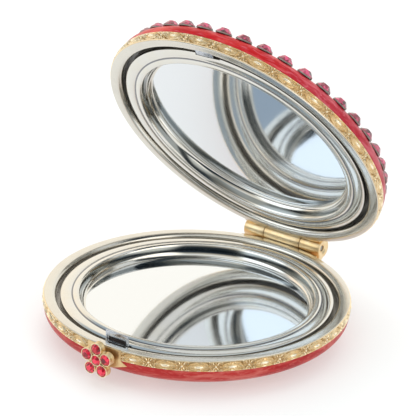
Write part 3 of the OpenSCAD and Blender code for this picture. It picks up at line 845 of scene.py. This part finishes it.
def band_relief(u, v):
    """Height share of the casting at u along the band and v over its middle, in millimetres."""
    oval = (np.abs(u) / oval_half_w) ** oval_point + np.abs(v - middle_low) / oval_half_h
    forms = [
        np.full_like(u, ground_relief), np.where(oval < 1, oval_field, 0),
        domed(u, v, 0, boss_low, boss_half_w, boss_half_h),
        edge_relief * ridge(np.abs(v) - band_h / 2 + edge_line, edge_line),
    ]
    forms += [relief * ridge(oval - line, width) for line, width, relief in oval_lines]
    for side in (-1, 1):
        joint = side * cell_w / 2
        forms.append(knot_relief * domed(u, v, joint, middle_low, knot_half_w, knot_half_h))
        for up in (-1, 1):
            for tilt, length in leaves:
                turn = math.radians(tilt) * up
                reach = leaf_start + length
                forms.append(leaf_relief * domed(
                    u, v, joint + reach * math.cos(turn), middle_low + reach * math.sin(turn),
                    length, leaf_half_w, turn))
            eye_u, eye_v = joint - side * scroll_in, up * scroll_up
            from_eye = np.hypot(u - eye_u, v - eye_v)
            forms.append(scroll_relief * ridge(from_eye - scroll_r, scroll_line))
            forms.append(eye_relief * domed(u, v, eye_u, eye_v, eye_r, eye_r))
    return np.maximum.reduce(forms)


def band_cell(name):
    """One cell of the band's casting at the front, closed above, below and behind."""
    turns = np.linspace(-cell_turn / 2, cell_turn / 2, columns + 1)
    heights = np.linspace(-band_h / 2, band_h / 2, rows + 1)
    u, v = np.meshgrid(turns * band_r, heights, indexing="ij")
    relief = band_relief(u, v)
    crown = band_r + band_crown * (1 - (2 * v / band_h) ** 2)
    radius = ground_r + (crown - ground_r) * relief
    ring = rows + 3
    points, values = [], []
    for i, turn in enumerate(turns):
        line = [(radius[i, j], heights[j], relief[i, j]) for j in range(rows + 1)]
        line += [(shell_r, band_h / 2, back_relief), (shell_r, -band_h / 2, back_relief)]
        for r, z, share in line:
            points.append(
                (r * math.sin(turn), -r * math.cos(turn), z - band_edge - band_h / 2))
            values.append(share)
    faces = [
        (i * ring + j, (i + 1) * ring + j,
         (i + 1) * ring + (j + 1) % ring, i * ring + (j + 1) % ring)
        for i in range(columns) for j in range(ring)
    ]
    made = bpy.data.meshes.new(name)
    made.from_pydata(points, [], faces)
    set_relief(made, values)
    return made


def set_relief(mesh, values):
    """Gives each point of a casting its share of the relief, which the gold's painted highlight and
    shade follow.
    """
    mesh.attributes.new("relief", "FLOAT", "POINT").data.foreach_set("value", values)


turned_copies, given = new_shape_tree(
    "copies turned round the axis", "Pieces", Piece="Geometry", Places="Int", First_place="Int",
    First_turn="Float", Places_left_out_behind="Int", Finish="Material")
spots = add_node(
    turned_copies, "GeometryNodeMeshLine", {"Count": given["Places"], "Offset": (0, 0, 0)})
number = add_node(turned_copies, "GeometryNodeInputIndex")
pitch = add_node(turned_copies, "Math", {0: 2 * math.pi, 1: given["Places"]}, operation="DIVIDE")
turn = add_node(turned_copies, "Math", {
    0: number, 1: pitch, 2: given["First turn"]}, operation="MULTIPLY_ADD")
middle = add_node(turned_copies, "Math", {0: given["Places"], 1: 2}, operation="DIVIDE")
off_back = add_node(turned_copies, "Math", {0: number, 1: middle}, operation="SUBTRACT")
off_back = add_node(turned_copies, "Math", {0: off_back}, operation="ABSOLUTE")
half_gap = add_node(turned_copies, "Math", {
    0: given["Places left out behind"], 1: 2}, operation="DIVIDE")
clear = add_node(turned_copies, "FunctionNodeCompare", {
    0: off_back, 1: half_gap}, data_type="FLOAT", operation="GREATER_EQUAL")
started = add_node(turned_copies, "FunctionNodeCompare", {
    2: number, 3: given["First place"]}, data_type="INT", operation="GREATER_EQUAL")
copies = add_node(turned_copies, "GeometryNodeInstanceOnPoints", {
    "Points": spots, "Instance": given["Piece"],
    "Selection": add_node(
        turned_copies, "FunctionNodeBooleanMath", {0: clear, 1: started}, operation="AND"),
    "Rotation": add_node(turned_copies, "CombineXYZ", {"Z": turn}),
})
end_shape_tree(turned_copies, "Pieces", copies, given["Finish"])


def ring_of(name, piece, finish, places, first_turn=0.0, first_place=0, left_out=0):
    """Copies of a piece set round the upright axis, but for some places behind."""
    return result_mesh(name, piece, turned_copies, {
        "Places": places, "First place": first_place, "First turn": first_turn,
        "Places left out behind": left_out, "Finish": finish,
    })


def close_band(mesh, plate_half_w):
    """Joins the cells, opens the band for the plate and closes its cut ends."""
    with worked(mesh) as shape:
        bmesh.ops.remove_doubles(shape, verts=shape.verts, dist=0.001)
        if plate_half_w:
            for side in (-1, 1):
                bmesh.ops.bisect_plane(
                    shape, geom=shape.verts[:] + shape.edges[:] + shape.faces[:], dist=0.00001,
                    plane_co=(side * plate_half_w, 0, 0), plane_no=(side, 0, 0))
            lost = [f for f in shape.faces if abs(f.calc_center_median().x) < plate_half_w]
            bmesh.ops.delete(shape, geom=lost, context="FACES")
        open_edges = [e for e in shape.edges if len(e.link_faces) == 1]
        bmesh.ops.holes_fill(shape, edges=open_edges, sides=0)


pebble_mm = 0.24
worn_spots_per_mm = 0.7


def cast_gold(name):
    """Gold plate on a casting, with a fine pebbled ground from the mould. Its colour follows the
    relief: a painted highlight, nearly white, on what stands out, and painted shade, brown, in the
    recesses."""
    made, tree = new_material(name)
    relief = add_node(tree, "Attribute", attribute_name="relief").outputs["Fac"]
    spot = add_node(tree, "TexCoord").outputs["Object"]
    pebbles = add_node(tree, "TexVoronoi", {
        "Vector": spot, "Scale": 1 / (pebble_mm * MM), "Randomness": 0.8}, feature="SMOOTH_F1")
    wear = add_node(tree, "TexNoise", {
        "Vector": spot, "Scale": worn_spots_per_mm / MM, "Detail": 4})
    depth = add_node(tree, "Math", {0: wear, 1: 0.25, 2: relief}, operation="MULTIPLY_ADD")
    pitted = add_node(tree, "MapRange", {
        "Value": relief, "From Min": 0.15, "From Max": 0.5, "To Min": 0.35, "To Max": 0.05})
    end_material(tree, {
        # Painted shade in the recesses and painted highlight on the raised parts, by relief.
        "Base Color": add_node(tree, "ValToRGB", {"Fac": depth}, [
            (0.2, "#ac8a5e"), (0.36, "#dfbe8b"), (0.6, "#f4dbaf"), (1.0, "#fff2d8")]),
        "Metallic": 1.0,
        "Roughness": add_node(tree, "MapRange", {
            "Value": relief, "From Min": 0.1, "From Max": 0.8, "To Min": 0.45, "To Max": 0.2}),
        "Normal": add_node(tree, "Bump", {
            "Height": pebbles, "Strength": pitted, "Distance": 0.0001}),
    })
    return made


band_gold = cast_gold("gold plated casting, painted_light_and_shade")
for half, place in halves.items():
    name = f"{half}_cast_band"
    has_plate = half == "base"
    mesh = ring_of(
        name, band_cell("band cell"), band_gold, cell_count, first_place=int(has_plate),
        left_out=cells_left_out)
    close_band(mesh, plate_w / 2 if has_plate else 0)
    add_piece(name, mesh, place, half, [f"{half}_band"], sharp=60)


# The hinge: two leaves of gold plated brass, soldered in the bands' place at the back, whose
# knuckles are milled and brushed. The steel pin is pressed into the outer ones.
def softened(node, name, width_mm, finish):
    """A copy of a CAD node's mesh, joined up, with its sharp edges rounded a little."""
    made = frame["nodes"][node].data.copy()
    made.name = name
    made.materials.clear()
    made.materials.append(finish)
    sharpest_kept = math.radians(35)
    with worked(made) as shape:
        bmesh.ops.remove_doubles(shape, verts=shape.verts, dist=1e-7)
        bmesh.ops.dissolve_limit(
            shape, angle_limit=math.radians(0.5), verts=shape.verts[:], edges=shape.edges[:])
        if width_mm:
            edges = [
                e for e in shape.edges
                if len(e.link_faces) == 2 and e.calc_face_angle(0) > sharpest_kept
            ]
            bmesh.ops.bevel(
                shape, geom=edges, offset=width_mm * MM, offset_type="OFFSET", segments=2,
                profile=0.5, affect="EDGES", clamp_overlap=True)
    return made


# A soft yellow metal. Its fine brushing, drawn coarse enough to show, runs along the barrel.
brushing_per_mm = (0.15, 6, 6)
hinge_spots_per_mm = 0.5
hinge_gold, tree = new_material("gold plated brass, brushed")
spot = add_node(tree, "TexCoord").outputs["Object"]
along = add_node(tree, "Mapping", {
    "Vector": spot, "Scale": [lines / MM for lines in brushing_per_mm]})
brushing = add_node(tree, "TexNoise", {"Vector": along, "Scale": 1, "Detail": 3})
wear = add_node(tree, "TexNoise", {
    "Vector": spot, "Scale": hinge_spots_per_mm / MM, "Detail": 3})
end_material(tree, {
    "Base Color": add_node(tree, "ValToRGB", {"Fac": wear}, [(0.3, "#eac68e"), (0.7, "#f0dcb6")]),
    "Metallic": 1.0, "Roughness": 0.3,
    "Normal": add_node(tree, "Bump", {
        "Height": brushing, "Strength": 0.12, "Distance": 0.00003}),
})
here = Matrix.Identity(4)
for half in halves:
    name = f"{half}_hinge_knuckles"
    mesh = softened(f"{half}_hinge_leaf", name, 0.12, hinge_gold)
    add_piece(name, mesh, here, half, [f"{half}_hinge_leaf"], sharp=40)


# Steel pieces that hardly show: the hinge pin, the button's stem, the catch spring and its seat.
# Drawn wire and turned bar, bright, with faint lines from drawing.
marks_per_mm = 4
drawn_steel, tree = new_material("drawn steel, bright")
marks = add_node(tree, "TexNoise", {
    "Vector": add_node(tree, "TexCoord").outputs["Object"],
    "Scale": marks_per_mm / MM, "Detail": 3})
end_material(tree, {
    "Base Color": add_node(tree, "ValToRGB", {"Fac": marks}, [(0.3, "#8d8d8c"), (0.7, "#adadab")]),
    "Metallic": 1.0, "Roughness": 0.32,
})
for node in ("hinge_pin", "button_stem", "spring_seat"):
    dress(node, drawn_steel)


# The catch spring: hard steel wire coiled over the stem, between its seat and the tongue. In the
# catch one end rides on the base and the other goes with the button, so the coil shortens when that
# is pressed; here the coil is one piece, hung on neither body.
mesh = softened("catch_spring", "catch_spring_coil", 0, drawn_steel)
smooth_by_angle(mesh, 30)
spring = new_object("catch_spring_coil", mesh)
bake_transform(spring)
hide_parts("catch_spring")


# The catch: a stamped nickel tongue that stands in the base's groove with a window below its bar,
# and the lid's catch plate that the window takes when the mirror is shut. The nickel is stained,
# darker and bluer in some spots than in others.
stains_per_mm = 1.4
stamped_nickel, tree = new_material("stamped nickel sheet, tarnished")
stains = add_node(tree, "TexNoise", {
    "Vector": add_node(tree, "TexCoord").outputs["Object"],
    "Scale": stains_per_mm / MM, "Detail": 4, "Distortion": 1.0})
end_material(tree, {
    "Base Color": add_node(tree, "ValToRGB", {"Fac": stains}, [
        (0.3, "#a0a6b0"), (0.55, "#c6cad2"), (0.75, "#e6e0d8")]),
    "Metallic": 1.0,
    "Roughness": add_node(tree, "MapRange", {
        "Value": stains, "From Min": 0.3, "From Max": 0.7, "To Min": 0.15, "To Max": 0.4}),
})
for node, body, edge_mm in (("catch_tongue", "button", 0.05), ("lid_catch", "lid", 0.04)):
    name = f"{node}_stamping"
    mesh = softened(node, name, edge_mm, stamped_nickel)
    add_piece(name, mesh, here, body, [node])

# A black block closes the back of the window: painted shade, put where the dark behind the window
# would be.
grains_per_mm = 5
shade_block_half_w = 2.4
shade_block_depth = (-31.72, -31.62)
shade_block_height = (8.8, 10.0)
window_shade_black, tree = new_material("dried polish, black")
grains = add_node(tree, "TexNoise", {
    "Vector": add_node(tree, "TexCoord").outputs["Object"],
    "Scale": grains_per_mm / MM, "Detail": 3})
end_material(tree, {
    "Base Color": add_node(
        tree, "ValToRGB", {"Fac": grains}, [(0.35, "#17110f"), (0.7, "#3a2c28")]),
    "Roughness": 0.6,
})
mesh = block(
    tongue_side - shade_block_half_w, tongue_side + shade_block_half_w, *shade_block_depth, *shade_block_height)
mesh.name = "window_shade_block"
mesh.materials.append(window_shade_black)
add_piece("window_shade_block", mesh, Matrix.Scale(MM, 4), "button", [])


# The button's plate: a gold plated casting with lobed sides, fixed over band and enamel, that the
# flower's stem comes through.
plate_relief = 0.3
mesh = softened("button_plate", "lobed_plate", 0.15, band_gold)
set_relief(mesh, [plate_relief] * len(mesh.vertices))
add_piece("lobed_plate", mesh, here, "base", ["button_plate"], sharp=40)


# The flower button: five petal settings round a sixth, cast in one and gold plated. Each is a short
# tube with a burnished lip that is pressed over its stone.
petal_count = 5
petal_ring_r = 2.65
petal_stone_r = 1.25
core_stone_r = 1.15
bezel_t = 0.2
flower_h = 1.7
seat_h = 0.8
foot_in, foot_up, foot_top = 0.12, 0.14, 0.45
waist_in, waist_up = 0.1, 0.7
lip_r = 0.1
lip_foot_drop, lip_under_drop = 0.45, 0.34
lip_h = 0.35
lip_painted_light = 0.6
foot_painted_light, painted_light_rise = 0.2, 0.3
setting_steps = 40
body_edge = 0.1
button_drop = 2.7
flower_back = -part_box("flower_button")[1].y / MM
flower_place = (
    base_place
    @ Matrix.Translation((0, -flower_back, -button_drop))
    @ Matrix.Rotation(math.pi / 2, 4, "X")
)


def setting_outline(stone_r):
    """Section of one tube setting, open in front, with a rolled lip."""
    out_r, seat = stone_r + bezel_t, flower_h - seat_h
    lip = [
        (stone_r + lip_r + lip_r * math.cos(math.radians(a)),
         flower_h - lip_r + lip_r * math.sin(math.radians(a)))
        for a in range(0, 226, 25)
    ]
    return [
        (0, 0), (out_r - foot_in, 0), (out_r, foot_up), (out_r, foot_top),
        (out_r - waist_in, waist_up), (out_r - waist_in, flower_h - lip_foot_drop),
    ] + lip + [(stone_r, flower_h - lip_under_drop), (stone_r, seat), (0, seat)]


def joined_meshes(name, meshes, finish):
    """One mesh of several, all of one material."""
    made = bpy.data.meshes.new(name)
    with worked(made) as shape:
        for part in meshes:
            shape.from_mesh(part)
        for face in shape.faces:
            face.material_index = 0
    made.materials.append(finish)
    return made


flower_gold = cast_gold("gold plated setting, burnished lips")
petal = swept("petal setting", setting_outline(petal_stone_r), flower_gold, setting_steps)
petal.transform(Matrix.Translation((0, -petal_ring_r, 0)))
petals = ring_of("petals", petal, flower_gold, petal_count, math.pi)
core = swept("core setting", setting_outline(core_stone_r), flower_gold, setting_steps)
body_h = flower_h - seat_h
flower_body = swept("flower body", [
    (0, body_edge), (petal_ring_r - body_edge, body_edge), (petal_ring_r, 2 * body_edge),
    (petal_ring_r, body_h - body_edge), (petal_ring_r - body_edge, body_h), (0, body_h),
], flower_gold, setting_steps)
mesh = joined_meshes("flower_setting", [petals, core, flower_body], flower_gold)
# Painted highlight on the lips and painted shade towards the foot: the gold's colour follows this
# share, which grows with height.
set_relief(mesh, [
    lip_painted_light if v.co.z > flower_h - lip_h else foot_painted_light + painted_light_rise * v.co.z / flower_h
    for v in mesh.vertices])
add_piece("flower_setting", mesh, flower_place, "button", ["flower_button"], sharp=40)


# The flower's stones: six round red glass brilliants, foiled behind; some facets have a painted
# glint and others are painted dark.
kite_up = 0.55
kite_by_girdle, kite_by_table = 0.45, 0.55
glints = (1.3, 1.9)
glass_clouds_per_mm = 0.9


def brilliant(name, radius, girdle, crown, table_share, sides=8):
    """A round brilliant's upper half, with table, star, kite and girdle facets, and a flat back."""
    points = [(0, 0, 0)]
    double = 2 * sides
    for z, r, count, start in (
        (0, radius, double, 0), (girdle, radius, double, 0),
        (girdle + crown * kite_up, radius * (kite_by_girdle + kite_by_table * table_share),
         sides, 0.5),
        (girdle + crown, radius * table_share, sides, 0),
    ):
        for i in range(count):
            turn = 2 * math.pi * (i + start) / count
            points.append((r * math.cos(turn), r * math.sin(turn), z))
    low, waist, kite, table = 1, 1 + double, 1 + 2 * double, 1 + 2 * double + sides
    faces = []
    for i in range(double):
        j = (i + 1) % double
        faces += [(0, low + j, low + i), (low + i, low + j, waist + j, waist + i)]
    for i in range(sides):
        after, before = (i + 1) % sides, (i - 1) % sides
        faces += [
            (waist + 2 * i, waist + 2 * i + 1, kite + i),
            (waist + 2 * i + 1, waist + (2 * i + 2) % double, kite + i),
            (waist + 2 * i, kite + i, table + i, kite + before),
            (kite + i, table + after, table + i),
        ]
    faces.append(tuple(table + i for i in range(sides)))
    made = bpy.data.meshes.new(name)
    made.from_pydata(points, [], faces)
    return made


def scatter_light(mesh, seed):
    """Gives each facet a random share of painted light, more often dark, the same on every run."""
    random = np.random.default_rng(seed)
    shares = random.beta(*glints, len(mesh.polygons))
    mesh.attributes.new("painted_facet_light", "FLOAT", "FACE").data.foreach_set("value", shares)


def foiled_glass(name, dark, middle, bright, gloss):
    """Coloured cut glass over foil: each facet's own share of light is painted into its colour, a
    painted glint on some facets and painted dark on others, under a hard, clear surface."""
    made, tree = new_material(name)
    share = add_node(tree, "Attribute", attribute_name="painted_facet_light").outputs["Fac"]
    cloudy = add_node(tree, "TexNoise", {
        "Vector": add_node(tree, "TexCoord").outputs["Object"],
        "Scale": glass_clouds_per_mm / MM, "Detail": 2})
    light = add_node(tree, "Math", {0: cloudy, 1: 0.3, 2: share}, operation="MULTIPLY_ADD")
    end_material(tree, {
        "Base Color": add_node(tree, "ValToRGB", {"Fac": light}, [
            (0.15, dark), (0.5, middle), (0.95, bright)]),
        "Roughness": 0.2, "IOR": 1.5, "Specular IOR Level": 0.3,
        "Coat Weight": gloss, "Coat Roughness": 0.02, "Coat IOR": 1.6,
    })
    return made


flower_table_share = 0.5
flower_crown_h = 0.55
flower_girdle_h = seat_h - 0.12
setting_gap = 0.02
flower_seed = 5
ruby = foiled_glass("foiled ruby glass, cut", "#56000c", "#c20426", "#ff3656", gloss=0.5)
petal_stone, core_stone = (
    brilliant(name, radius - setting_gap, flower_girdle_h, flower_crown_h, flower_table_share)
    for name, radius in (("petal stone", petal_stone_r), ("core stone", core_stone_r)))
petal_stone.transform(Matrix.Translation((0, -petal_ring_r, flower_h - seat_h)))
core_stone.transform(Matrix.Translation((0, 0, flower_h - seat_h)))
stones = ring_of("petal stones", petal_stone, ruby, petal_count, math.pi)
mesh = joined_meshes("flower_rubies", [stones, core_stone], ruby)
scatter_light(mesh, flower_seed)
add_piece("flower_rubies", mesh, flower_place, "button", ["flower_stones"], sharp=5)


# The lid's stones: forty round brilliants of foiled dark pink glass in a ring on its shoulder. Each
# sits in a low nickel cup that is glued to the enamel; the enamel's red is painted into the cup's
# nickel as a painted reflection.
stone_count = 40
stone_ring_r = enamel_r - 2.6
stone_r = 1.8
girdle_h = 0.35
crown_h = 0.935
table_share = 0.47
lid_seed = 11
cup_h = 0.4
cup_t = 0.15
cup_foot_out, cup_foot_up = 0.02, 0.08
lip_out_drop, lip_crest_drop, lip_in_drop = 0.1, 0.04, 0.08
cup_steps = 24
dome_depth = half_h - band_low
slope_step = 0.03
stone_drop, inner_drop = (
    dome_drop(radius, enamel_r, dome_depth, foot_r)
    for radius in (stone_ring_r, stone_ring_r - slope_step))
stone_tilt = math.atan2(inner_drop - stone_drop, slope_step)
stone_seat = (
    Matrix.Translation((0, -stone_ring_r, -band_low - stone_drop))
    @ Matrix.Rotation(math.pi - stone_tilt, 4, "X")
)
half_pitch = math.pi / stone_count

# Painted reflection: the cup's nickel is tinted the enamel's red. Low on the dome, most of the cup
# takes the groove's painted grey shade instead.
cup_nickel = polished_nickel(
    "nickel stone cup, turned", lid_place, tint="#a8646c", shine=0.2, line_mm=0.1,
    deep_painted_shade="#8e877f")
cup = swept("stone cup", [
    (0, 0), (stone_r + cup_foot_out, 0), (stone_r + cup_t, cup_foot_up),
    (stone_r + cup_t, cup_h - lip_out_drop), (stone_r + cup_t / 2, cup_h - lip_crest_drop),
    (stone_r, cup_h - lip_in_drop), (stone_r, cup_t), (0, cup_t),
], cup_nickel, cup_steps)
cup.transform(stone_seat)
mesh = ring_of("stone_settings", cup, cup_nickel, stone_count, half_pitch)
add_piece("stone_settings", mesh, lid_place, "lid", ["stone_cups"], sharp=40)

pink_glass = foiled_glass("foiled dark pink glass, cut", "#44041a", "#8e1036", "#d84c76", gloss=0.9)
stone = brilliant("lid stone", stone_r + cup_t * 0.5, girdle_h, crown_h, table_share)
stone.transform(stone_seat @ Matrix.Translation((0, 0, cup_t)))
mesh = ring_of("lid_brilliants", stone, pink_glass, stone_count, half_pitch)
scatter_light(mesh, lid_seed)
add_piece("lid_brilliants", mesh, lid_place, "lid", ["lid_stones"], sharp=5)
